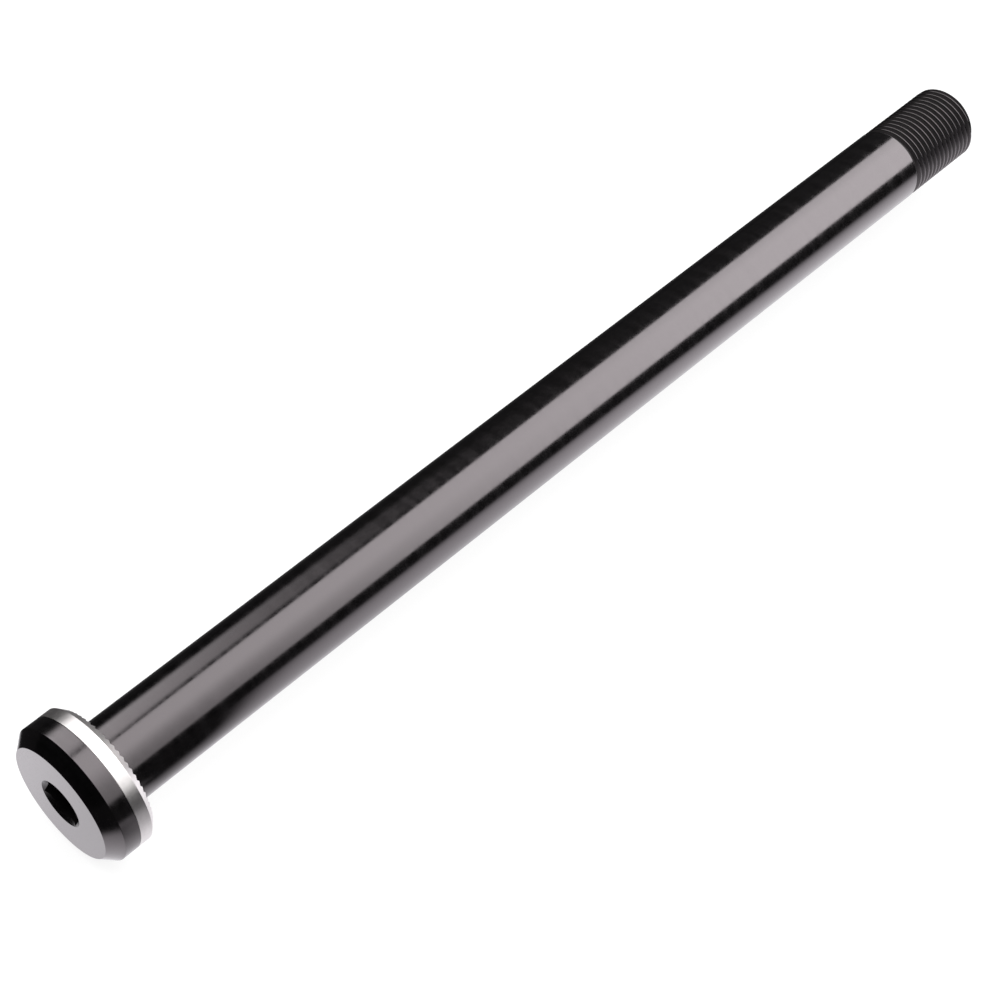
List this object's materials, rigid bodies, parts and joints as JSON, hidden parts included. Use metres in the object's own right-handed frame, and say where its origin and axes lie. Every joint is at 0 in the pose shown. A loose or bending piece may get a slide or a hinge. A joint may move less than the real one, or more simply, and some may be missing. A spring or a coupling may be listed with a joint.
{
  "type": "bicycle thru axle",
  "caption": "Hollow turned aluminium thru axle with a bevelled head, hex key socket, smooth shank, threaded tip and a freely turning serrated steel washer under the head.",
  "frame": {"origin": "centre of the head's flat face, on which the axle stands", "axes": "+Z along the axle from the head to the threaded tip; two flats of the hex socket face +X and -X, two of its corners point to +Y and -Y"},
  "size_m": [0.0203, 0.0202, 0.1811],
  "materials": {
    "anodised_axle": "black anodised, glossy over fine turning marks",
    "washer_steel": "bright turned and polished"
  },
  "bodies": {
    "axle": {"axle": "anodised_axle"},
    "washer": {"serrated_washer": "washer_steel"}
  },
  "joints": [
    {"name": "washer_spin", "type": "hinge", "parent": "axle", "child": "washer", "pos_m": [0, 0, 0.00566], "axis": [0, 0, 1], "continuous": true}
  ]
}
